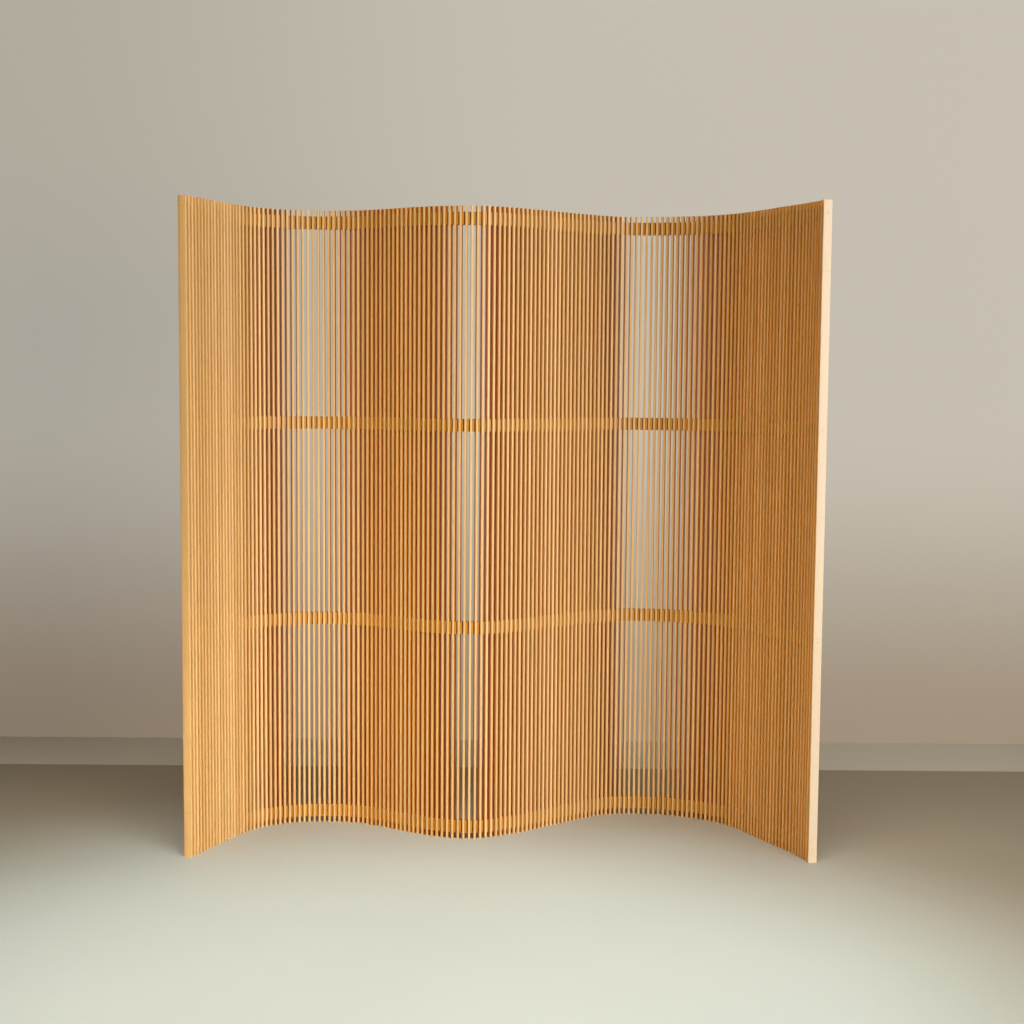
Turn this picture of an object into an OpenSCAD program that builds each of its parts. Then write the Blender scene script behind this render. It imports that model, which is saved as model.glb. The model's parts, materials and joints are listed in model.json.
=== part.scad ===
// Free-standing room divider: thin upright bamboo slats set edge-on, held apart by
// rocker spacers in level bands and strung on steel cables, so that each slat can turn
// a little against the next about an upright line and the whole screen stands in a wave.
//
// X runs along the screen to the right, Y away from the viewer, Z up.
// The origin is the middle of the footprint, on the floor.

/* [Screen] */
// Height of the screen, which is the length of every slat
screen_h = 1800; // [1200:10:2200]
// Slats in one panel, the run of slats that stays as it is when the screen is refolded
panel_slats = 8; // [5:1:9]
// Heading of the left end of the screen, seen from above
left_heading = 67; // [50:0.5:80]

/* [Slats] */
// Thickness of a slat, across the gap
slat_t = 6.5; // [5.5:0.1:9]
// Depth of a slat, from its front edge to its rear edge
slat_d = 25; // [20:0.5:36]
// Gap between the faces of two neighbouring slats
slat_gap = 8.8; // [8:0.1:12]
// Chamfer along the four long edges of a slat
slat_ease = 0.8; // [0.3:0.1:1.5]

/* [Rocker spacers] */
// Level bands of spacers, each with its own cable
bands = 4; // [3:1:6]
// Height of a spacer
spacer_h = 36; // [25:1:60]
// Bare end of a slat above the top band and below the bottom band
end_margin = 17; // [10:1:60]
// How far a spacer's edges stay back from the slat's edges
spacer_setback = 3; // [2:0.5:8]
// Turn of a slat against its neighbour at which the spacer's flank stops it
stop_turn = 20; // [19:0.5:25]
// Radius of the upright nose that the next slat rocks on
nose_r = 2.7; // [2.3:0.1:3]

/* [Cables] */
// Diameter of a cable
cable_d = 2; // [1.5:0.1:2.2]
// Bore for the cable through slats and spacers
cable_bore_d = 3; // [2.8:0.1:3.4]
// Diameter of the stop pressed on each end of a cable
stop_d = 6; // [5:0.1:8]
// Length of the stop
stop_l = 3; // [2:0.1:3.4]
// Thickness of the bamboo plug that hides the stop
plug_t = 1.5; // [1:0.1:1.8]

/* [Clearances] */
// Gap between a nose and the face of the slat that rocks on it
run_clear = 0.3; // [0.2:0.05:0.5]
// Gap round a stop in its counterbore
stop_clear = 0.5; // [0.2:0.1:1]
// Gap round a plug in its counterbore
plug_clear = 0.05; // [0.02:0.01:0.1]

/* [Hidden] */
// Turn of each panel against the one on its left, counted from straight, left to right:
// left wing, far valley, ridge, straight run, far valley, right wing.
panel_turns = [
    0, 0, -28, -28, -20, -24,
    0, 20, 44, 8, 0, -4,
    -36, -16, -16, -28, -4, 4, -16
];
panels = len(panel_turns);
slat_count = panels * panel_slats;

// Along the screen, a slat's middle, the hinge line in its spacers' noses, the next slat
slat_to_hinge = slat_t / 2 + slat_gap - run_clear - nose_r;
hinge_to_slat = nose_r + run_clear + slat_t / 2;

// Half depth of a spacer, and its thickness there, thin enough to let the next slat turn
spacer_half_d = slat_d / 2 - spacer_setback;
spacer_edge_t = slat_to_hinge - slat_t / 2
    + (nose_r + run_clear - spacer_half_d * sin(stop_turn)) / cos(stop_turn);

band_pitch = (screen_h - 2 * end_margin - spacer_h) / (bands - 1);
band_z = [for (b = [0 : bands - 1]) end_margin + spacer_h / 2 + b * band_pitch];

stop_bore_d = stop_d + 2 * stop_clear;
stop_bore_l = stop_l + plug_t;
cut = 1;        // how far a cutting tool runs past the face it opens
round_fn = 48;  // facets of a preview circle

tone_slat = [0.82, 0.60, 0.36];
tone_spacer = [0.74, 0.51, 0.28];
tone_plug = [0.86, 0.66, 0.43];
tone_steel = [0.66, 0.67, 0.69];

// ---- Standing curve ----

function bend(p) = panel_turns[p] / panel_slats;
function turned_before(p) = p == 0 ? 0 : turned_before(p - 1) + panel_turns[p - 1];
function heading(i) =
    let (p = floor(i / panel_slats))
    left_heading + turned_before(p) + (i - p * panel_slats + 1) * bend(p);
function along(a) = [cos(a), sin(a)];
function across(a) = [-sin(a), cos(a)];

headings = [for (i = [0 : slat_count - 1]) heading(i)];
steps = [
    for (i = [0 : slat_count - 2])
        slat_to_hinge * along(headings[i]) + hinge_to_slat * along(headings[i + 1])
];
// Slat middles before centring, each the one before it plus a step
middles = [
    for (i = 0, at = [0, 0]; i < slat_count; at = at + (i < len(steps) ? steps[i] : [0, 0]), i = i + 1) at
];

// Outline of a slat from above, its thickness along X
slat_outline =
    let (x = slat_t / 2, y = slat_d / 2, e = slat_ease)
    [
        [x - e, -y], [x, e - y], [x, y - e], [x - e, y],
        [e - x, y], [-x, y - e], [-x, e - y], [e - x, -y]
    ];
footprint = [
    for (i = [0 : slat_count - 1], q = slat_outline)
        middles[i] + q[0] * along(headings[i]) + q[1] * across(headings[i])
];
xs = [for (q = footprint) q[0]];
ys = [for (q = footprint) q[1]];
centre = [max(xs) + min(xs), max(ys) + min(ys)] / 2;

module at_slat(i) {
    translate(concat(middles[i] - centre, 0)) rotate(headings[i]) children();
}

// ---- Slats ----

// Runs from a slat's face into it: side -1 is the left face, 1 the right
module face_bore(side, depth, d) {
    translate([side * (slat_t / 2 - depth), 0, 0])
        rotate([0, side * 90, 0]) cylinder(h = depth + cut, d = d, $fn = round_fn);
}

module slat(is_left_end, is_right_end) {
    difference() {
        linear_extrude(screen_h) polygon(slat_outline);
        for (z = band_z) translate([0, 0, z]) {
            face_bore(1, slat_t + cut, cable_bore_d);
            if (is_left_end) face_bore(-1, stop_bore_l, stop_bore_d);
            if (is_right_end) face_bore(1, stop_bore_l, stop_bore_d);
        }
    }
}

module slats(p) {
    color(tone_slat)
        for (k = [0 : panel_slats - 1]) {
            i = p * panel_slats + k;
            at_slat(i) slat(i == 0, i == slat_count - 1);
        }
}

// ---- Rocker spacers ----

// Point where a line from q touches a circle, on the side that turn (1 or -1) picks
function tangent_point(q, middle, r, turn) =
    let (v = q - middle, a = atan2(v[1], v[0]) + turn * acos(r / norm(v)))
    middle + r * along(a);

module spacer_outline() {
    nose = [slat_to_hinge, 0];
    glue_x = slat_t / 2;
    edge = [glue_x + spacer_edge_t, spacer_half_d];
    rear_touch = tangent_point(edge, nose, nose_r, -1);
    polygon([
        [glue_x, -edge[1]], [edge[0], -edge[1]], [rear_touch[0], -rear_touch[1]],
        rear_touch, edge, [glue_x, edge[1]]
    ]);
    translate(nose) circle(nose_r, $fn = round_fn);
}

module spacer() {
    difference() {
        translate([0, 0, -spacer_h / 2]) linear_extrude(spacer_h) spacer_outline();
        translate([slat_t / 2 - cut, 0, 0])
            rotate([0, 90, 0]) cylinder(h = slat_gap + 2 * cut, d = cable_bore_d, $fn = round_fn);
    }
}

// Every slat carries its spacers on its right face, apart from the last one
module spacers(p) {
    color(tone_spacer)
        for (k = [0 : panel_slats - 1]) {
            i = p * panel_slats + k;
            if (i < slat_count - 1)
                at_slat(i) for (z = band_z) translate([0, 0, z]) spacer();
        }
}

// ---- Cables ----

// A cable's run through one panel, from x_first in the frame of the panel's first slat
// to x_last in the frame of its last one. Equal bends put the slats on one circle, so
// the run is an arc of that circle, or a straight rod in a straight panel.
module cable_run(p, x_first, x_last) {
    b = bend(p);
    if (b == 0)
        translate([x_first, 0, 0]) rotate([0, 90, 0]) cylinder(
            h = (panel_slats - 1) * (slat_to_hinge + hinge_to_slat) + x_last - x_first,
            d = cable_d, $fn = round_fn
        );
    else {
        mid_x = (slat_to_hinge - hinge_to_slat) / 2;
        mid_y = (slat_to_hinge + hinge_to_slat) / 2 / tan(b / 2);
        from = atan((x_first - mid_x) / mid_y);
        to = (panel_slats - 1) * b + atan((x_last - mid_x) / mid_y);
        translate([mid_x, mid_y, 0]) rotate(min(from, to) - sign(b) * 90)
            rotate_extrude(angle = abs(to - from), $fn = 4 * round_fn)
                translate([abs(mid_y), 0]) circle(d = cable_d, $fn = round_fn);
    }
}

// Stop pressed on a cable's end, seated on the floor of its counterbore
module cable_stop(side) {
    translate([side * (slat_t / 2 - stop_bore_l), 0, 0])
        rotate([0, side * 90, 0]) cylinder(h = stop_l, d = stop_d, $fn = round_fn);
}

module cables(p) {
    first = p * panel_slats;
    last = first + panel_slats - 1;
    stop_mid = slat_t / 2 - plug_t - stop_l / 2;
    x_first = p == 0 ? -stop_mid : -slat_t / 2;
    x_last = p == panels - 1 ? stop_mid : slat_to_hinge + nose_r;
    color(tone_steel)
        for (z = band_z) {
            at_slat(first) translate([0, 0, z]) cable_run(p, x_first, x_last);
            if (p == 0) at_slat(first) translate([0, 0, z]) cable_stop(-1);
            if (p == panels - 1) at_slat(last) translate([0, 0, z]) cable_stop(1);
        }
}

// ---- Plugs ----

module end_plugs(i, side) {
    color(tone_plug)
        at_slat(i) for (z = band_z)
            translate([side * (slat_t / 2 - plug_t), 0, z]) rotate([0, side * 90, 0])
                cylinder(h = plug_t, d = stop_bore_d - 2 * plug_clear, $fn = round_fn);
}

// ---- Nodes ----

function numbered(word, p) = str(word, "_", p < 9 ? "0" : "", p + 1);

for (p = [0 : panels - 1]) {
    slats(p);
    spacers(p);
    cables(p);
}
end_plugs(0, -1);  // left_plugs
end_plugs(slat_count - 1, 1);  // right_plugs
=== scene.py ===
import bpy
import bmesh
import json
import math
from mathutils import Matrix, Vector

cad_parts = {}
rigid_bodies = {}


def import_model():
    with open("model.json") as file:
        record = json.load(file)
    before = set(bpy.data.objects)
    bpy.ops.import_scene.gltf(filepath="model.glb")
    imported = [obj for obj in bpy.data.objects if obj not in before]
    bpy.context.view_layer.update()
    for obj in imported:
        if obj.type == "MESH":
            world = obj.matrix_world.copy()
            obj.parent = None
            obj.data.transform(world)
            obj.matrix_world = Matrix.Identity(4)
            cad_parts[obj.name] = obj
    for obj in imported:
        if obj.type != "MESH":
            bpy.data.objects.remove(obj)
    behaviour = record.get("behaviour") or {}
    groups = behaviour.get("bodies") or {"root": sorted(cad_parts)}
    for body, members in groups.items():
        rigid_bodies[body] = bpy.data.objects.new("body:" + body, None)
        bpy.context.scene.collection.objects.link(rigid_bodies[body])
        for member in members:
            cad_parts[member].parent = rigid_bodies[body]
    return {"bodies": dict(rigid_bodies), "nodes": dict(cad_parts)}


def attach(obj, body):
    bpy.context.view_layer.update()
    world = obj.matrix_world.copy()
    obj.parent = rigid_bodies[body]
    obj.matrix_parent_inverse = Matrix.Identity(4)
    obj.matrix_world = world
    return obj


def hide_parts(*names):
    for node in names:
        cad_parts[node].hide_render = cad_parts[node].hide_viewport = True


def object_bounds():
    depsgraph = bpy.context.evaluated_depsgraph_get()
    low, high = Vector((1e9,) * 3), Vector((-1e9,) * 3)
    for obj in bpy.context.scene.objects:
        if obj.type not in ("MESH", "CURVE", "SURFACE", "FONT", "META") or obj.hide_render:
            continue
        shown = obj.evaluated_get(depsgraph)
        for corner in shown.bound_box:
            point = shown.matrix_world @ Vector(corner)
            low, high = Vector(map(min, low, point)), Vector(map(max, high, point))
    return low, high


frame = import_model()
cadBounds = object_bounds()

mm = 0.001
panelNames = sorted(frame["bodies"])    # panel_01 ... panel_19, from left to right


# Colours are written as sRGB hex and turned to the linear values that the shader takes
def linearColour(hexText):
    channels = [int(hexText[i:i + 2], 16) / 255 for i in (1, 3, 5)]
    bent = [c / 12.92 if c <= 0.04045 else ((c + 0.055) / 1.055) ** 2.4 for c in channels]
    return (*bent, 1.0)


# Adds a node to a shader or geometry tree and gives back its outputs. Inputs are values or the outputs
# of other nodes, and settings are the node's own properties
def addNode(tree, kind, inputs=None, **settings):
    node = tree.nodes.new(kind)
    for name, value in settings.items():
        setattr(node, name, value)
    for key, value in (inputs or {}).items():
        if isinstance(value, bpy.types.NodeSocket):
            tree.links.new(value, node.inputs[key])
        else:
            node.inputs[key].default_value = value
    return node.outputs


def link(obj):
    bpy.context.scene.collection.objects.link(obj)
    return obj


# Camera: in front of the screen, level with its upper half and looking slightly down
camera = {
    "place": (0.0296, -4.4954, 1.3188),
    "downTilt": 4.845,                  # degrees below level
    "roll": 0.440,                      # degrees
    "focalPixels": 1578.8,              # focal length, for a picture 1024 pixels wide
    "middlePixel": (513.34, 513.0),     # where the lens axis meets the picture
    "picturePixels": 1024,
    "filmWidth": 36,                    # mm
}


def makeCamera():
    data = bpy.data.cameras.new("camera")
    data.sensor_width = camera["filmWidth"]
    data.lens = camera["filmWidth"] * camera["focalPixels"] / camera["picturePixels"]
    half = camera["picturePixels"] / 2
    data.shift_x = (half - camera["middlePixel"][0]) / camera["picturePixels"]
    data.shift_y = (camera["middlePixel"][1] - half) / camera["picturePixels"]
    obj = link(bpy.data.objects.new("camera", data))
    lean = Matrix.Rotation(math.radians(90 - camera["downTilt"]), 4, "X")
    roll = Matrix.Rotation(math.radians(camera["roll"]), 4, "Z")
    obj.matrix_world = Matrix.Translation(camera["place"]) @ lean @ roll
    bpy.context.scene.camera = obj


makeCamera()
print("camera placed")

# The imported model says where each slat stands, and how large it is
reading = {
    "sameCorner": 0.001 * mm,   # corners nearer than this are one
    "onFace": 0.1 * mm,         # a corner nearer to a face than this lies on it
    "besideSlat": 1.0 * mm,     # a spacer that starts nearer to the first slat than this is glued to it
}


# The separate solids of a CAD node, each as a list of its corners
def solidsOf(nodeName):
    work = bmesh.new()
    work.from_mesh(frame["nodes"][nodeName].data)
    bmesh.ops.remove_doubles(work, verts=work.verts, dist=reading["sameCorner"])
    seen = set()
    solids = []
    for start in work.verts:
        if start in seen:
            continue
        seen.add(start)
        reached = [start]
        for vert in reached:
            for edge in vert.link_edges:
                other = edge.other_vert(vert)
                if other not in seen:
                    seen.add(other)
                    reached.append(other)
        solids.append([vert.co.copy() for vert in reached])
    work.free()
    return solids


# Middle and heading of a slat, seen from above. The heading is the direction of its thickness
def slatPlace(corners):
    foot = [c for c in corners if c.z < cadBounds[0].z + reading["onFace"]]
    middle = sum(foot, Vector()) / len(foot)
    spread = [c - middle for c in foot]
    xx = sum(s.x * s.x for s in spread)
    yy = sum(s.y * s.y for s in spread)
    xy = sum(s.x * s.y for s in spread)
    depthAngle = math.atan2(2 * xy, xx - yy) / 2
    heading = depthAngle - math.pi / 2 if depthAngle > 0 else depthAngle + math.pi / 2
    if math.cos(heading) < 0:
        heading += math.pi
    return Vector((middle.x, middle.y, cadBounds[0].z)), heading


def placesOf(panelName):
    node = panelName.replace("panel", "slats")
    return sorted((slatPlace(solid) for solid in solidsOf(node)), key=lambda place: place[0].x)


# Some corners in the frame of the slat that they belong to
def turnedTo(place, corners):
    return [Matrix.Rotation(-place[1], 3, "Z") @ (c - place[0]) for c in corners]


def extent(corners):
    low = Vector([min(c[axis] for c in corners) for axis in range(3)])
    high = Vector([max(c[axis] for c in corners) for axis in range(3)])
    return low, high


slatPlaces = {name: placesOf(name) for name in panelNames}
firstPlace = slatPlaces["panel_01"][0]
firstSlat = min(solidsOf("slats_01"), key=lambda solid: slatPlace(solid)[0].x)
slatLow, slatHigh = extent(turnedTo(firstPlace, firstSlat))

# the spacers on the first slat, from the bottom up
firstColumn = [turnedTo(firstPlace, solid) for solid in solidsOf("spacers_01")]
firstColumn = [c for c in firstColumn if extent(c)[0].x < slatHigh.x + reading["besideSlat"]]
firstColumn.sort(key=lambda corners: extent(corners)[0].z)
spacerLow, spacerHigh = extent(firstColumn[0])
spacerEdgeX = max(c.x for c in firstColumn[0] if c.y > spacerHigh.y - reading["onFace"])
bandHeights = [sum(c.z for c in extent(corners)) / 2 for corners in firstColumn]
bandPitch = bandHeights[1] - bandHeights[0]
print("slats", sum(len(p) for p in slatPlaces.values()), "size", slatHigh - slatLow, "bands", bandHeights)


def newMaterial(name):
    material = bpy.data.materials.new(name)
    material.use_nodes = True
    material.node_tree.nodes.clear()
    return material, material.node_tree


# Sawn strips of laminated bamboo, planed and oiled: warm satin, with fine straight fibres,
# streaks along the strip, tone that differs from strip to strip and a faint joint mark now and then
bamboo = {
    "stripTones": ("#F0C383", "#E8B875", "#DEAB67"),    # from the palest strip to the darkest
    "shadedBlockTones": ("#C59B46", "#BC913B", "#B28430"),    # blocks: a little more golden than the strips, and painted darker for the shade they stand in between the slats
    "plugTones": ("#EDC07E", "#E3B26C", "#D6A25E"),     # plugs were sanded flush: even, hardly oiled
    "fibreWidth": 0.9 * mm,         # real fibres are about 0.4 mm: drawn coarser so that they show
    "fibreLength": 240 * mm,
    "fibreDetail": 3.0,
    "streakWidth": 3.5 * mm,
    "streakLength": 1200 * mm,
    "streakDetail": 2.0,
    "noiseRoughness": 0.6,
    "fibreContrast": 0.55,
    "streakContrast": 0.42,
    "jointDepth": 0.15,             # how dark a joint mark is, on strips only
    "jointSpacing": 330 * mm,
    "jointHeight": 3.0 * mm,
    "jointWobble": 4.0 * mm,
    "dullRoughness": 0.54,          # between the fibres, where their noise is below dullBelow
    "dullBelow": 0.2,
    "glossRoughness": 0.40,         # and on their ridges, where it is above glossAbove
    "glossAbove": 0.8,
    "bumpStrength": 0.35,
    "bumpDepth": 0.12 * mm,
    "ior": 1.5,
    "specular": 0.34,
    "oilCoat": 0.07,
    "coatRoughness": 0.3,
    "faceFrom": 3.0 * mm,           # from the middle of the thickness: a broad face or a block lies out here
    "edgeFrom": 12.2 * mm,          # from the middle of the depth: a long edge lies out here
    "gapShadeFadesAt": 8.2 * mm,           # the painted shade in the gaps has faded out from here outwards
    "gapShadeFullAt": 3.6 * mm,           # and is at its full from here inwards
    # painted shade deep in the gaps between the slats: darker and more saturated
    "gapShadeTint": "#E2AC34",
    "rightFaceShadeTint": "#FCDC8C",          # painted shade: the right faces, which stand in the slats' shade, warmer and darker
    # painted light: the long edges take a near-white tint, tuned to how the light falls on them
    "litEdgeTint": "#F6F8FA",
    "sheenTone": "#D0C5B2",          # painted highlight: a pale sheen on the outer face of the right end, where the window's light is reflected
    "sheenShare": 0.75,
}


# Gives each face of a strip or block its own tint, all of them painted light: painted shade deep in the
# gaps, fading out towards the long edges and left off the outer faces of the two end slats, a tint on the
# long edges tuned to their light, painted shade on the right faces and a painted sheen on the right end
def tintFaces(tree, local, colour):
    side = addNode(tree, "ShaderNodeAttribute", attribute_name="outerSide")["Fac"]
    across = addNode(tree, "ShaderNodeSeparateXYZ", {0: local})
    fromMiddle = addNode(tree, "ShaderNodeMath", {0: across["Y"]}, operation="ABSOLUTE")[0]
    longEdge = addNode(
        tree, "ShaderNodeMath", {0: fromMiddle, 1: bamboo["edgeFrom"]}, operation="GREATER_THAN"
    )[0]
    # the right face of each strip or block, which takes painted shade
    rightFace = addNode(
        tree, "ShaderNodeMath", {0: across["X"], 1: bamboo["faceFrom"]}, operation="GREATER_THAN"
    )[0]
    outward = addNode(tree, "ShaderNodeMath", {0: across["X"], 1: side}, operation="MULTIPLY")[0]
    outerFace = addNode(
        tree, "ShaderNodeMath", {0: outward, 1: bamboo["faceFrom"]}, operation="GREATER_THAN"
    )[0]
    # side is 1 at the right end and -1 at the left one, where the clamp leaves no painted sheen
    sheenSide = addNode(tree, "ShaderNodeMath", {0: side, 1: bamboo["sheenShare"]}, operation="MULTIPLY")[0]
    paintedSheen = addNode(
        tree, "ShaderNodeMath", {0: outerFace, 1: sheenSide}, operation="MULTIPLY", use_clamp=True
    )[0]
    # painted shade in the gaps: full deep in the depth, fading out towards the long edges, and left off the
    # end slats' outer faces
    deepShade = addNode(
        tree, "ShaderNodeMapRange",
        {"Value": fromMiddle, "From Min": bamboo["gapShadeFullAt"], "From Max": bamboo["gapShadeFadesAt"],
         "To Min": 1.0, "To Max": 0.0},
        interpolation_type="SMOOTHSTEP",
    )[0]
    gapShade = addNode(
        tree, "ShaderNodeMath", {0: deepShade, 1: outerFace}, operation="SUBTRACT", use_clamp=True
    )[0]
    # the painted tints: long edges tuned to their light, shade on the right faces, sheen on the right end,
    # shade deep in the gaps
    for share, tint, blend in (
        (longEdge, "litEdgeTint", "MULTIPLY"),
        (rightFace, "rightFaceShadeTint", "MULTIPLY"),
        (paintedSheen, "sheenTone", "MIX"),
        (gapShade, "gapShadeTint", "MULTIPLY"),
    ):
        colour = addNode(
            tree, "ShaderNodeMix",
            {"Factor": share, 6: colour, 7: linearColour(bamboo[tint])},
            data_type="RGBA", blend_type=blend,
        )[2]
    return colour


# grainIsStored: the piece carries its own grain coordinates, otherwise its place in the model is used
def makeBamboo(name, tones, jointDepth, grainIsStored):
    material, tree = newMaterial(name)
    if grainIsStored:
        local = addNode(tree, "ShaderNodeAttribute", attribute_name="grain")["Vector"]
        shift = addNode(tree, "ShaderNodeAttribute", attribute_name="grainShift")["Vector"]
        tone = addNode(tree, "ShaderNodeAttribute", attribute_name="stripTone")["Fac"]
        place = addNode(tree, "ShaderNodeVectorMath", {0: local, 1: shift}, operation="ADD")[0]
    else:
        place = addNode(tree, "ShaderNodeTexCoord")["Object"]
        tone = 0.5                  # the middle one of the three

    def stretchedNoise(width, length, detail):
        scaled = addNode(
            tree, "ShaderNodeMapping",
            {"Vector": place, "Scale": (1 / width, 1 / width, 1 / length)},
        )[0]
        return addNode(
            tree, "ShaderNodeTexNoise",
            {"Vector": scaled, "Scale": 1.0, "Detail": detail, "Roughness": bamboo["noiseRoughness"]},
        )["Fac"]

    fibre = stretchedNoise(bamboo["fibreWidth"], bamboo["fibreLength"], bamboo["fibreDetail"])
    streak = stretchedNoise(bamboo["streakWidth"], bamboo["streakLength"], bamboo["streakDetail"])

    stripTone = addNode(tree, "ShaderNodeValToRGB", {"Fac": tone})["Color"]
    stops = stripTone.node.color_ramp.elements
    stops[0].color = linearColour(tones[0])
    stops[1].color = linearColour(tones[2])
    stops.new(0.5).color = linearColour(tones[1])

    # fibres and streaks darken and lighten the strip's own tone
    strength = 1.0
    for noise, contrast in ((fibre, bamboo["fibreContrast"]), (streak, bamboo["streakContrast"])):
        swing = addNode(tree, "ShaderNodeMath", {0: noise, 1: 0.5}, operation="SUBTRACT")[0]
        strength = addNode(
            tree, "ShaderNodeMath", {0: swing, 1: contrast, 2: strength}, operation="MULTIPLY_ADD"
        )[0]
    colour = addNode(
        tree, "ShaderNodeMix", {"Factor": 1.0, 6: stripTone, 7: strength},
        data_type="RGBA", blend_type="MULTIPLY",
    )[2]
    if grainIsStored:
        colour = tintFaces(tree, local, colour)

    # joint marks: a thin darker line across the strip where the cane had a node
    height = addNode(tree, "ShaderNodeSeparateXYZ", {0: place})["Z"]
    wavy = addNode(
        tree, "ShaderNodeMath", {0: streak, 1: bamboo["jointWobble"], 2: height}, operation="MULTIPLY_ADD"
    )[0]
    joints = addNode(tree, "ShaderNodeMath", {0: wavy, 1: bamboo["jointSpacing"]}, operation="DIVIDE")[0]
    phase = addNode(tree, "ShaderNodeMath", {0: joints}, operation="FRACT")[0]
    fromJoint = addNode(tree, "ShaderNodeMath", {0: phase, 1: 0.5}, operation="SUBTRACT")[0]
    away = addNode(tree, "ShaderNodeMath", {0: fromJoint}, operation="ABSOLUTE")[0]
    mark = addNode(
        tree, "ShaderNodeMapRange",
        {"Value": away, "From Min": 0.0, "From Max": bamboo["jointHeight"] / bamboo["jointSpacing"],
         "To Min": jointDepth, "To Max": 0.0},
        interpolation_type="SMOOTHSTEP",
    )[0]
    marked = addNode(
        tree, "ShaderNodeMix", {"Factor": mark, 6: colour, 7: linearColour(tones[2])},
        data_type="RGBA", blend_type="MULTIPLY",
    )[2]

    rough = addNode(
        tree, "ShaderNodeMapRange",
        {"Value": fibre, "From Min": bamboo["dullBelow"], "From Max": bamboo["glossAbove"],
         "To Min": bamboo["dullRoughness"], "To Max": bamboo["glossRoughness"]},
    )[0]
    bump = addNode(
        tree, "ShaderNodeBump",
        {"Height": fibre, "Strength": bamboo["bumpStrength"], "Distance": bamboo["bumpDepth"]},
    )[0]
    shader = addNode(
        tree, "ShaderNodeBsdfPrincipled",
        {"Base Color": marked, "Roughness": rough, "IOR": bamboo["ior"],
         "Specular IOR Level": bamboo["specular"], "Normal": bump,
         "Coat Weight": bamboo["oilCoat"], "Coat Roughness": bamboo["coatRoughness"]},
    )[0]
    addNode(tree, "ShaderNodeOutputMaterial", {"Surface": shader})
    return material


slatBamboo = makeBamboo("oiledBambooStrip", bamboo["stripTones"], bamboo["jointDepth"], True)
spacerBamboo = makeBamboo("oiledBambooBlock", bamboo["shadedBlockTones"], 0.0, True)
plugBamboo = makeBamboo("sandedBambooPlug", bamboo["plugTones"], 0.0, False)
print("bamboo mixed")

# Wire rope of drawn stainless steel: bright, with a soft sheen that the slanting strands break up, and
# painted shade and sheen along the strands
wire = {
    "strandGap": 2.7425 * mm,       # real ones lie about 0.4 mm apart: drawn coarser so that they show
    "strandWander": 0.4,
    "valleyShade": "#8C8E90",
    "ridgeSheen": "#C9CBCC",
    "roughness": 0.34,
    "bumpStrength": 0.4,
    "bumpDepth": 0.1 * mm,
}


def makeWireSteel():
    material, tree = newMaterial("drawnStainlessWire")
    place = addNode(tree, "ShaderNodeTexCoord")["Object"]
    # a slanting wave of scale 1 repeats every 2 pi / (10 * sqrt 3) metres
    waveScale = 2 * math.pi / (10 * math.sqrt(3) * wire["strandGap"])
    strands = addNode(
        tree, "ShaderNodeTexWave",
        {"Vector": place, "Scale": waveScale, "Distortion": wire["strandWander"]},
        bands_direction="DIAGONAL",
    )["Fac"]
    # painted shade in the valleys between the strands and a painted sheen on their ridges
    colour = addNode(
        tree, "ShaderNodeMix",
        {"Factor": strands, 6: linearColour(wire["valleyShade"]), 7: linearColour(wire["ridgeSheen"])},
        data_type="RGBA",
    )[2]
    bump = addNode(
        tree, "ShaderNodeBump",
        {"Height": strands, "Strength": wire["bumpStrength"], "Distance": wire["bumpDepth"]},
    )[0]
    shader = addNode(
        tree, "ShaderNodeBsdfPrincipled",
        {"Base Color": colour, "Metallic": 1.0, "Roughness": wire["roughness"], "Normal": bump},
    )[0]
    addNode(tree, "ShaderNodeOutputMaterial", {"Surface": shader})
    return material


wireSteel = makeWireSteel()
print("steel mixed")


# A new geometry tree with named inputs: the kinds are Geometry, Object, Float, Int and Material
def newTree(name, inputNames):
    tree = bpy.data.node_groups.new(name, "GeometryNodeTree")
    for inputName, kind in inputNames.items():
        tree.interface.new_socket(name=inputName, in_out="INPUT", socket_type="NodeSocket" + kind)
    tree.interface.new_socket(name="Geometry", in_out="OUTPUT", socket_type="NodeSocketGeometry")
    return tree, addNode(tree, "NodeGroupInput")


# Puts an object through a tree and returns the result as a plain mesh object
def runTree(tree, source, values, name):
    modifier = source.modifiers.new("tree", "NODES")
    modifier.node_group = tree
    for item in tree.interface.items_tree:
        if item.in_out == "INPUT" and item.name in values:
            modifier[item.identifier] = values[item.name]
    graph = bpy.context.evaluated_depsgraph_get()
    mesh = bpy.data.meshes.new_from_object(source.evaluated_get(graph), depsgraph=graph)
    mesh.name = name
    mesh.materials.clear()
    mesh.materials.append(values["Material"])
    mesh.polygons.foreach_set("material_index", [0] * len(mesh.polygons))
    source.modifiers.remove(modifier)
    bpy.data.objects.remove(source)
    return link(bpy.data.objects.new(name, mesh))


# One point for each place, with the heading of the slat that stands there
def makePoints(places):
    mesh = bpy.data.meshes.new("points")
    mesh.from_pydata([tuple(middle) for middle, heading in places], [], [])
    headings = mesh.attributes.new("heading", "FLOAT", "POINT")
    headings.data.foreach_set("value", [heading for middle, heading in places])
    return link(bpy.data.objects.new("points", mesh))


# How the copies of a slat or spacer are finished, and how their grain differs
copying = {
    "grainReach": (0.4, 0.4, 2.0),  # metres, how far its grain is shifted at most
    "shiftSeedStep": 100.0,
    "weld": 0.01 * mm,              # corners nearer than this are joined, so that a cut leaves no sliver
}


# A column of points, one for each band
def bandColumn(tree, given):
    start = addNode(tree, "ShaderNodeCombineXYZ", {"Z": given["First Band"]})[0]
    step = addNode(tree, "ShaderNodeCombineXYZ", {"Z": given["Band Pitch"]})[0]
    return addNode(
        tree, "GeometryNodeMeshLine", {"Count": given["Bands"], "Start Location": start, "Offset": step}
    )[0]


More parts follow.
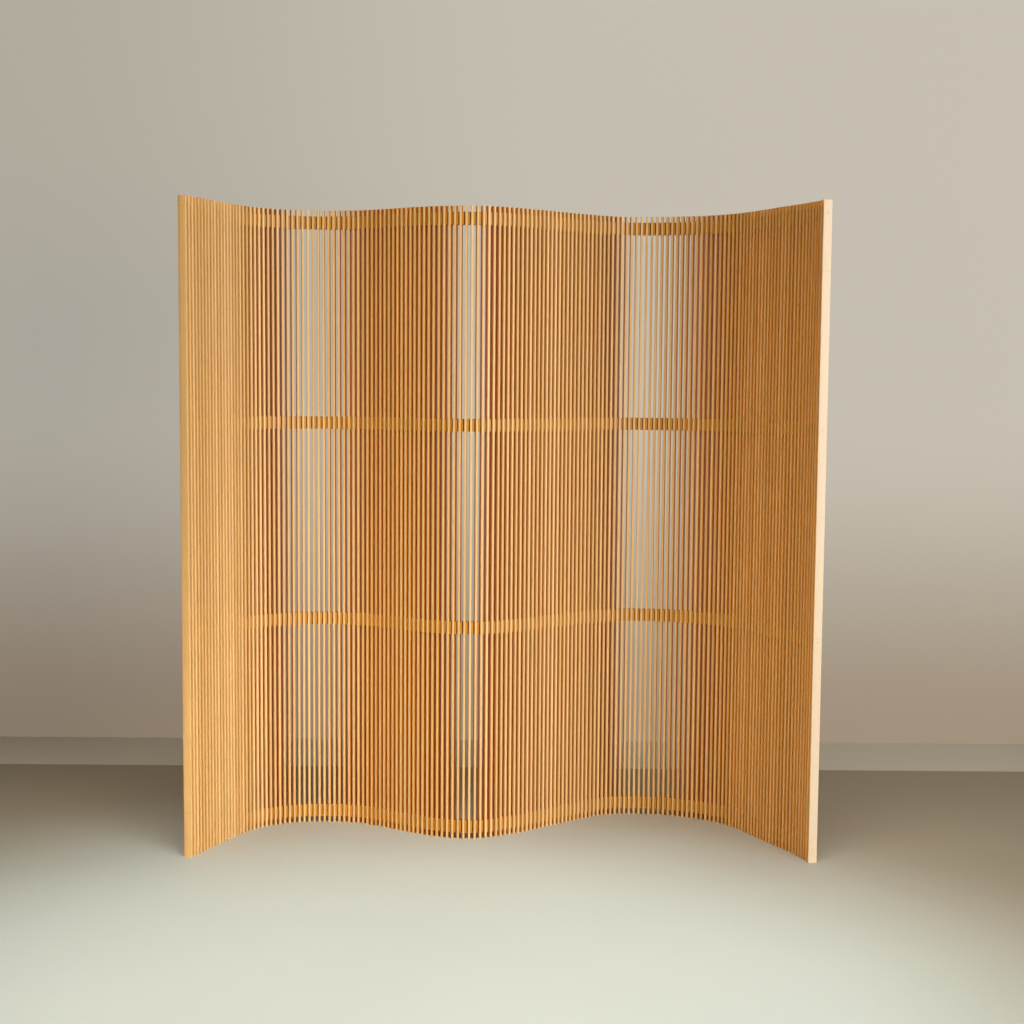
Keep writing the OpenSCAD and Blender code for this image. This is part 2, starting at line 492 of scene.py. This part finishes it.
# Stands a copy of a piece on every point, turned to its heading, with its own tone and grain
def standOnPoints(tree, points, piece, seed, outerSide, material):
    welded = addNode(
        tree, "GeometryNodeMergeByDistance", {"Geometry": piece, "Distance": copying["weld"]}
    )[0]
    position = addNode(tree, "GeometryNodeInputPosition")[0]
    grained = addNode(
        tree, "GeometryNodeStoreNamedAttribute", {"Geometry": welded, "Name": "grain", "Value": position},
        data_type="FLOAT_VECTOR", domain="POINT",
    )[0]
    heading = addNode(
        tree, "GeometryNodeInputNamedAttribute", {"Name": "heading"}, data_type="FLOAT"
    )["Attribute"]
    turn = addNode(tree, "ShaderNodeCombineXYZ", {"Z": heading})[0]
    copies = addNode(
        tree, "GeometryNodeInstanceOnPoints", {"Points": points, "Instance": grained, "Rotation": turn}
    )[0]
    tone = addNode(tree, "FunctionNodeRandomValue", {"Seed": seed}, data_type="FLOAT")[1]
    shiftSeed = addNode(
        tree, "ShaderNodeMath", {0: seed, 1: copying["shiftSeedStep"]}, operation="ADD"
    )[0]
    shift = addNode(
        tree, "FunctionNodeRandomValue",
        {"Min": (0, 0, 0), "Max": copying["grainReach"], "Seed": shiftSeed}, data_type="FLOAT_VECTOR",
    )[0]
    for name, kind, value in (
        ("stripTone", "FLOAT", tone),
        ("grainShift", "FLOAT_VECTOR", shift),
        ("outerSide", "FLOAT", outerSide),
    ):
        copies = addNode(
            tree, "GeometryNodeStoreNamedAttribute", {"Geometry": copies, "Name": name, "Value": value},
            data_type=kind, domain="INSTANCE",
        )[0]
    real = addNode(tree, "GeometryNodeRealizeInstances", {"Geometry": copies})[0]
    painted = addNode(tree, "GeometryNodeSetMaterial", {"Geometry": real, "Material": material})[0]
    addNode(tree, "NodeGroupOutput", {0: painted})


slat = {
    "easing": 1.1 * mm,             # radius of the long edges
    "easingSteps": 3,
    "bore": 3.0 * mm,
    "boreSides": 12,
    "counterbore": 7.0 * mm,        # for the cable stops, in the outer faces of the two end slats
    "counterboreDepth": 4.5 * mm,
    "counterboreSides": 32,
    "seed": 11,
    "endSeedStep": 50,
}


# One slat is a rounded outline drawn up its height, bored through at every band. Outer Side is -1 for the
# left end and 1 for the right one, which have counterbores in their outer faces, and 0 for all others
def makeSlatTree():
    tree, given = newTree("bambooSlats", {
        "Points": "Geometry", "Height": "Float", "Thickness": "Float", "Depth": "Float",
        "Easing": "Float", "Bore": "Float", "Counterbore": "Float", "Counterbore Depth": "Float",
        "First Band": "Float", "Band Pitch": "Float", "Bands": "Int",
        "Outer Side": "Float", "Seed": "Int", "Material": "Material",
    })
    outline = addNode(
        tree, "GeometryNodeCurvePrimitiveQuadrilateral",
        {"Width": given["Thickness"], "Height": given["Depth"]},
    )[0]
    rounded = addNode(
        tree, "GeometryNodeFilletCurve",
        {"Curve": outline, "Radius": given["Easing"], "Count": slat["easingSteps"]}, mode="POLY",
    )[0]
    top = addNode(tree, "ShaderNodeCombineXYZ", {"Z": given["Height"]})[0]
    spine = addNode(tree, "GeometryNodeCurvePrimitiveLine", {"Start": (0, 0, 0), "End": top})[0]
    strip = addNode(
        tree, "GeometryNodeCurveToMesh", {"Curve": spine, "Profile Curve": rounded, "Fill Caps": True}
    )[0]
    bands = bandColumn(tree, given)

    # a row of lying cutters, one at each band
    def cutterRow(sides, width, length, middle):
        radius = addNode(tree, "ShaderNodeMath", {0: width, 1: 0.5}, operation="MULTIPLY")[0]
        rod = addNode(
            tree, "GeometryNodeMeshCylinder", {"Vertices": sides, "Radius": radius, "Depth": length}
        )["Mesh"]
        laid = addNode(
            tree, "GeometryNodeTransform",
            {"Geometry": rod, "Translation": middle, "Rotation": (0, math.pi / 2, 0)},
        )[0]
        row = addNode(tree, "GeometryNodeInstanceOnPoints", {"Points": bands, "Instance": laid})[0]
        return addNode(tree, "GeometryNodeRealizeInstances", {"Geometry": row})[0]

    # the counterbores' cutters have their middles in the outer face, so half of each is in the slat
    side = given["Outer Side"]
    through = addNode(tree, "ShaderNodeMath", {0: given["Thickness"], 1: 2.0}, operation="MULTIPLY")[0]
    twiceDepth = addNode(
        tree, "ShaderNodeMath", {0: given["Counterbore Depth"], 1: 2.0}, operation="MULTIPLY"
    )[0]
    toFace = addNode(tree, "ShaderNodeMath", {0: given["Thickness"], 1: 0.5}, operation="MULTIPLY")[0]
    faceX = addNode(tree, "ShaderNodeMath", {0: toFace, 1: side}, operation="MULTIPLY")[0]
    outer = addNode(tree, "ShaderNodeCombineXYZ", {"X": faceX})[0]
    bores = cutterRow(slat["boreSides"], given["Bore"], through, (0, 0, 0))
    counterbores = cutterRow(slat["counterboreSides"], given["Counterbore"], twiceDepth, outer)
    bored = addNode(
        tree, "GeometryNodeMeshBoolean", {"Mesh 1": strip, "Mesh 2": bores},
        operation="DIFFERENCE", solver="MANIFOLD",
    )[0]
    counterbored = addNode(
        tree, "GeometryNodeMeshBoolean", {"Mesh 1": bored, "Mesh 2": counterbores},
        operation="DIFFERENCE", solver="MANIFOLD",
    )[0]
    ended = addNode(tree, "ShaderNodeMath", {0: side}, operation="ABSOLUTE")[0]
    isEnd = addNode(tree, "ShaderNodeMath", {0: ended, 1: 0.5}, operation="GREATER_THAN")[0]
    chosen = addNode(
        tree, "GeometryNodeSwitch", {"Switch": isEnd, "False": bored, "True": counterbored},
        input_type="GEOMETRY",
    )[0]
    standOnPoints(tree, given["Points"], chosen, given["Seed"], side, given["Material"])
    return tree


slatTree = makeSlatTree()


def makeSlats(places, side, seed, name):
    return runTree(slatTree, makePoints(places), {
        "Height": slatHigh.z - slatLow.z,
        "Thickness": slatHigh.x - slatLow.x,
        "Depth": slatHigh.y - slatLow.y,
        "Easing": slat["easing"],
        "Bore": slat["bore"],
        "Counterbore": slat["counterbore"],
        "Counterbore Depth": slat["counterboreDepth"],
        "First Band": bandHeights[0],
        "Band Pitch": bandPitch,
        "Bands": len(bandHeights),
        "Outer Side": float(side),
        "Seed": seed,
        "Material": slatBamboo,
    }, name)


# The slats of one panel are one piece; the first and the last panel have an end slat among them
def makePanelSlats(index, panelName):
    places = slatPlaces[panelName]
    name = panelName.replace("panel", "bambooSlats")
    seed = slat["seed"] + index
    if index == 0:
        plain, end, side = places[1:], places[:1], -1
    elif index == len(panelNames) - 1:
        plain, end, side = places[:-1], places[-1:], 1
    else:
        return makeSlats(places, 0, seed, name)
    pieces = [
        makeSlats(plain, 0, seed, name),
        makeSlats(end, side, seed + slat["endSeedStep"], "endSlat"),
    ]
    with bpy.context.temp_override(active_object=pieces[0], selected_editable_objects=pieces):
        bpy.ops.object.join()
    return pieces[0]


for index, panelName in enumerate(panelNames):
    piece = makePanelSlats(index, panelName)
    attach(piece, panelName)
    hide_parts(panelName.replace("panel", "slats"))
print("slats made")

spacer = {
    "noseRadius": 2.7 * mm,
    "noseSteps": 4,
    "easing": 0.35 * mm,
    "easedFrom": 30,                # degrees: edges that turn more than this are eased
    "boreSides": 12,
    "cutterLength": 60 * mm,
    "seed": 211,
}


# Outline from above: flat glued face, two slanting flanks and the round nose that the next slat rocks on
def spacerOutline():
    glueX, tipX, halfDepth = spacerLow.x, spacerHigh.x, spacerHigh.y
    radius = spacer["noseRadius"]
    nose = Vector((tipX - radius, 0))
    edge = Vector((spacerEdgeX, halfDepth))
    reach = edge - nose
    touch = math.atan2(reach.y, reach.x) - math.acos(radius / reach.length)
    steps = spacer["noseSteps"]
    arc = [
        nose + radius * Vector((math.cos(a), math.sin(a)))
        for a in (touch * (2 * i / steps - 1) for i in range(steps + 1))
    ]
    return [(glueX, -halfDepth), (edge.x, -halfDepth), *arc, tuple(edge), (glueX, halfDepth)]


# A single spacer without its bore, standing about the height of its own middle, with eased edges
def makeSpacerBlank():
    halfHeight = (spacerHigh.z - spacerLow.z) / 2
    work = bmesh.new()
    floorVerts = [work.verts.new((p[0], p[1], -halfHeight)) for p in spacerOutline()]
    face = work.faces.new(floorVerts)
    raised = bmesh.ops.extrude_face_region(work, geom=[face])["geom"]
    topVerts = [g for g in raised if isinstance(g, bmesh.types.BMVert)]
    bmesh.ops.translate(work, verts=topVerts, vec=(0, 0, 2 * halfHeight))
    bmesh.ops.recalc_face_normals(work, faces=work.faces)
    sharp = [e for e in work.edges if e.calc_face_angle(0) > math.radians(spacer["easedFrom"])]
    bmesh.ops.bevel(work, geom=sharp, offset=spacer["easing"], segments=1, affect="EDGES")
    mesh = bpy.data.meshes.new("spacerBlank")
    work.to_mesh(mesh)
    work.free()
    return link(bpy.data.objects.new("spacerBlank", mesh))


# The blank is bored through its nose and stands on every slat's right face, at every band
def makeSpacerTree():
    tree, given = newTree("rockerSpacers", {
        "Points": "Geometry", "Blank": "Object", "First Band": "Float", "Band Pitch": "Float",
        "Bands": "Int", "Bore": "Float", "Seed": "Int", "Material": "Material",
    })
    blank = addNode(tree, "GeometryNodeObjectInfo", {"Object": given["Blank"]})["Geometry"]
    radius = addNode(tree, "ShaderNodeMath", {0: given["Bore"], 1: 0.5}, operation="MULTIPLY")[0]
    rod = addNode(
        tree, "GeometryNodeMeshCylinder",
        {"Vertices": spacer["boreSides"], "Radius": radius, "Depth": spacer["cutterLength"]},
    )["Mesh"]
    laid = addNode(tree, "GeometryNodeTransform", {"Geometry": rod, "Rotation": (0, math.pi / 2, 0)})[0]
    bored = addNode(
        tree, "GeometryNodeMeshBoolean", {"Mesh 1": blank, "Mesh 2": laid},
        operation="DIFFERENCE", solver="MANIFOLD",
    )[0]
    columns = addNode(
        tree, "GeometryNodeInstanceOnPoints",
        {"Points": given["Points"], "Instance": bandColumn(tree, given)},
    )[0]
    allPoints = addNode(tree, "GeometryNodeRealizeInstances", {"Geometry": columns})[0]
    standOnPoints(tree, allPoints, bored, given["Seed"], 0.0, given["Material"])
    return tree


spacerBlank = makeSpacerBlank()
spacerTree = makeSpacerTree()

for index, panelName in enumerate(panelNames):
    places = slatPlaces[panelName]
    if index == len(panelNames) - 1:
        places = places[:-1]            # the last slat has no neighbour to its right
    piece = runTree(spacerTree, makePoints(places), {
        "Blank": spacerBlank,
        "First Band": bandHeights[0],
        "Band Pitch": bandPitch,
        "Bands": len(bandHeights),
        "Bore": slat["bore"],
        "Seed": spacer["seed"] + index,
        "Material": spacerBamboo,
    }, panelName.replace("panel", "rockerSpacers"))
    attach(piece, panelName)
    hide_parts(panelName.replace("panel", "spacers"))
bpy.data.objects.remove(spacerBlank)
print("spacers made")

# Cables, stops and plugs keep their CAD shapes
for nodeName, obj in frame["nodes"].items():
    if nodeName.startswith("cables"):
        obj.data.materials.clear()
        obj.data.materials.append(wireSteel)
    if nodeName.endswith("plugs"):
        obj.data.materials.clear()
        obj.data.materials.append(plugBamboo)
print("cables and plugs finished")

# Floor, wall and the room round them
stage = {
    "backdropY": 1.2,           # behind the screen, clear of it when it's rolled up to the rear
    "halfWidth": 9.0,
    "frontY": -9.0,
    "height": 6.0,
    "floorMiddle": (-0.3, -1.4, 0.0),
    "floorLitPool": "#B7BCB5",     # painted light: the floor round its middle
    "floorDimRim": "#938875",    # and painted shade, darker and browner, far from it
    "paleRadius": 0.95,
    "brownRadius": 2.05,
    "footFrom": 0.79,           # from here back the floor is laid in the wall's colour
    "footColour": "#C3BFB3",
    "floorRoughness": 0.75,
    "wallColour": "#C6AE88",
    "wallRoughness": 0.8,
    "glowLow": "#9A8C7D",       # painted glow at the wall's foot, darker as painted shade
    "glowHigh": "#CBC7BC",      # and from glowFullAt upwards, paler as painted light
    "glowFullAt": 1.2,
    "glowDimLeft": 0.79,        # it fades to this share towards the left, as painted shade
    "glowDimFrom": 0.32,
    "glowDimTo": -1.83,
    "glowShare": 0.8,
    "cloudScale": 1.3,
    "cloudDetail": 4.0,
    "cloudDark": 0.94,
    "cloudLight": 1.04,
    "roomColour": "#D9D3C8",
    "roomLight": 0.02,
    "roomSeen": 0.2,
}


# A colour with faint cloudy patches, as on a painted or floated surface
def cloudyColour(tree, place, colour):
    cloud = addNode(
        tree, "ShaderNodeTexNoise",
        {"Vector": place, "Scale": stage["cloudScale"], "Detail": stage["cloudDetail"]},
    )["Fac"]
    value = addNode(
        tree, "ShaderNodeMapRange",
        {"Value": cloud, "To Min": stage["cloudDark"], "To Max": stage["cloudLight"]},
    )[0]
    return addNode(
        tree, "ShaderNodeMix", {"Factor": 1.0, 6: colour, 7: value},
        data_type="RGBA", blend_type="MULTIPLY",
    )[2]


# 1 for rays that look at a surface, directly or by reflection, and 0 for those that gather its light
def lookingRays(tree):
    rays = addNode(tree, "ShaderNodeLightPath")
    looking = rays["Is Camera Ray"]
    for kind in ("Is Glossy Ray", "Is Transmission Ray"):
        looking = addNode(tree, "ShaderNodeMath", {0: looking, 1: rays[kind]}, operation="MAXIMUM")[0]
    return looking


# Floated concrete, dull, with a painted pool of light: palest in the middle of the room, and darker and
# browner round it as painted shade
def makeFloorConcrete():
    material, tree = newMaterial("floatedConcrete")
    place = addNode(tree, "ShaderNodeTexCoord")["Object"]
    away = addNode(
        tree, "ShaderNodeVectorMath", {0: place, 1: stage["floorMiddle"]}, operation="DISTANCE"
    )["Value"]
    outward = addNode(
        tree, "ShaderNodeMapRange",
        {"Value": away, "From Min": stage["paleRadius"], "From Max": stage["brownRadius"]},
        interpolation_type="SMOOTHSTEP",
    )[0]
    paintedPool = addNode(
        tree, "ShaderNodeMix",
        {"Factor": outward, 6: linearColour(stage["floorLitPool"]), 7: linearColour(stage["floorDimRim"])},
        data_type="RGBA",
    )[2]
    depth = addNode(tree, "ShaderNodeSeparateXYZ", {0: place})["Y"]
    isFoot = addNode(tree, "ShaderNodeMath", {0: depth, 1: stage["footFrom"]}, operation="GREATER_THAN")[0]
    laid = addNode(
        tree, "ShaderNodeMix", {"Factor": isFoot, 6: paintedPool, 7: linearColour(stage["footColour"])},
        data_type="RGBA",
    )[2]
    shader = addNode(
        tree, "ShaderNodeBsdfPrincipled",
        {"Base Color": cloudyColour(tree, place, laid), "Roughness": stage["floorRoughness"]},
    )[0]
    addNode(tree, "ShaderNodeOutputMaterial", {"Surface": shader})
    return material


# Matt wall paint that shows paler than the light on it, so that the wall needs no lamp of its own
def makeWallPaint():
    material, tree = newMaterial("mattWallPaint")
    place = addNode(tree, "ShaderNodeTexCoord")["Object"]
    colour = cloudyColour(tree, place, linearColour(stage["wallColour"]))
    paint = addNode(
        tree, "ShaderNodeBsdfPrincipled", {"Base Color": colour, "Roughness": stage["wallRoughness"]}
    )[0]
    local = addNode(tree, "ShaderNodeSeparateXYZ", {0: place})
    upWall = addNode(
        tree, "ShaderNodeMapRange", {"Value": local["Z"], "From Max": stage["glowFullAt"]},
        interpolation_type="SMOOTHSTEP",
    )[0]
    glowColour = addNode(
        tree, "ShaderNodeMix",
        {"Factor": upWall, 6: linearColour(stage["glowLow"]), 7: linearColour(stage["glowHigh"])},
        data_type="RGBA",
    )[2]
    dimmed = addNode(
        tree, "ShaderNodeMapRange",
        {"Value": local["X"], "From Min": stage["glowDimTo"], "From Max": stage["glowDimFrom"],
         "To Min": stage["glowDimLeft"]},
        interpolation_type="SMOOTHSTEP",
    )[0]
    glow = addNode(tree, "ShaderNodeEmission", {"Color": glowColour, "Strength": dimmed})[0]
    share = addNode(
        tree, "ShaderNodeMath", {0: lookingRays(tree), 1: stage["glowShare"]}, operation="MULTIPLY"
    )[0]
    mixed = addNode(tree, "ShaderNodeMixShader", {0: share, 1: paint, 2: glow})[0]

    # from behind, the wall lets the view through to the screen
    rear = addNode(tree, "ShaderNodeNewGeometry")["Backfacing"]
    cameraRay = addNode(tree, "ShaderNodeLightPath")["Is Camera Ray"]
    opened = addNode(tree, "ShaderNodeMath", {0: rear, 1: cameraRay}, operation="MULTIPLY")[0]
    clear = addNode(tree, "ShaderNodeBsdfTransparent")[0]
    oneSided = addNode(tree, "ShaderNodeMixShader", {0: opened, 1: mixed, 2: clear})[0]
    addNode(tree, "ShaderNodeOutputMaterial", {"Surface": oneSided})
    return material


def makeStageFace(name, corners, material):
    mesh = bpy.data.meshes.new(name)
    mesh.from_pydata(corners, [], [tuple(range(len(corners)))])
    mesh.materials.append(material)
    obj = link(bpy.data.objects.new(name, mesh))


wide, front, back, high = stage["halfWidth"], stage["frontY"], stage["backdropY"], stage["height"]
makeStageFace(
    "floor", [(-wide, front, 0), (wide, front, 0), (wide, back, 0), (-wide, back, 0)],
    makeFloorConcrete(),
)
makeStageFace(
    "backdrop", [(-wide, back, 0), (wide, back, 0), (wide, back, high), (-wide, back, high)],
    makeWallPaint(),
)
print("stage built")

light = {
    # tall window at the right, in front of the screen
    "window": {"place": (6.2, -5.0, 1.6), "aim": (0.0, 0.0, 0.8), "size": (3.6, 3.2), "watts": 335,
               "spread": 180, "tint": "#F9FDFF"},
    # a narrower one nearer the viewer, which reaches the faces of the left wing
    "frontWindow": {"place": (3.4, -6.2, 1.7), "aim": (0.0, 0.0, 0.9), "size": (2.0, 2.4), "watts": 142,
                    "spread": 180, "tint": "#FCFFFE"},
    # weak one at the left, warm from the room behind it
    "leftRoom": {"place": (-5.5, -5.5, 2.2), "aim": (0.0, 0.0, 0.9), "size": (3.0, 3.0), "watts": 52,
                 "spread": 180, "tint": "#FFD8A8"},
    # low panel under the camera, for the light that a bright floor throws up
    "low": {"place": (0.3, -3.3, 0.4), "aim": (0.0, 0.0, 0.5), "size": (2.6, 0.6), "watts": 2,
            "spread": 180, "tint": "#FFE3B4"},
    # narrow one that reaches the foot of the left wing
    "leftFoot": {"place": (-1.0, -2.6, 0.3), "aim": (-0.85, 0.0, 0.25), "size": (0.5, 0.3), "watts": 1.0,
                 "spread": 44, "tint": "#FFF4E6"},
    # overhead, on the floor in front
    "overhead": {"place": (0.0, -1.9, 4.2), "aim": (0.0, -1.2, 0.0), "size": (3.0, 1.6), "watts": 43,
                 "spread": 70, "tint": "#FFFEF8"},
    # strip high up in front of the backdrop
    "backdropStrip": {"place": (-0.6, 0.25, 3.6), "aim": (-0.6, 1.2, 1.6), "size": (6.0, 0.5), "watts": 8,
                      "spread": 180, "tint": "#FFFFFF"},
}


def makeLight(name, values):
    data = bpy.data.lights.new(name, "AREA")
    data.shape = "RECTANGLE"
    data.size, data.size_y = values["size"]
    data.spread = math.radians(values["spread"])
    data.energy = values["watts"]
    data.color = linearColour(values["tint"])[:3]
    obj = link(bpy.data.objects.new(name, data))
    obj.visible_camera = False          # a lamp panel never shows in a view
    obj.location = values["place"]
    toAim = Vector(values["aim"]) - Vector(values["place"])
    obj.rotation_euler = toAim.to_track_quat("-Z", "Y").to_euler()


for name, values in light.items():
    makeLight(name, values)


# The room round the stage: pale where it is looked at, but giving hardly any light
def makeRoom():
    room = bpy.data.worlds.new("softRoom")
    room.use_nodes = True
    tree = room.node_tree
    tree.nodes.clear()
    strength = addNode(
        tree, "ShaderNodeMapRange",
        {"Value": lookingRays(tree), "To Min": stage["roomLight"], "To Max": stage["roomSeen"]},
    )[0]
    background = addNode(
        tree, "ShaderNodeBackground", {"Color": linearColour(stage["roomColour"]), "Strength": strength}
    )[0]
    addNode(tree, "ShaderNodeOutputWorld", {"Surface": background})
    bpy.context.scene.world = room


makeRoom()
bpy.context.scene.view_settings.view_transform = "Standard"
print("stage lit")
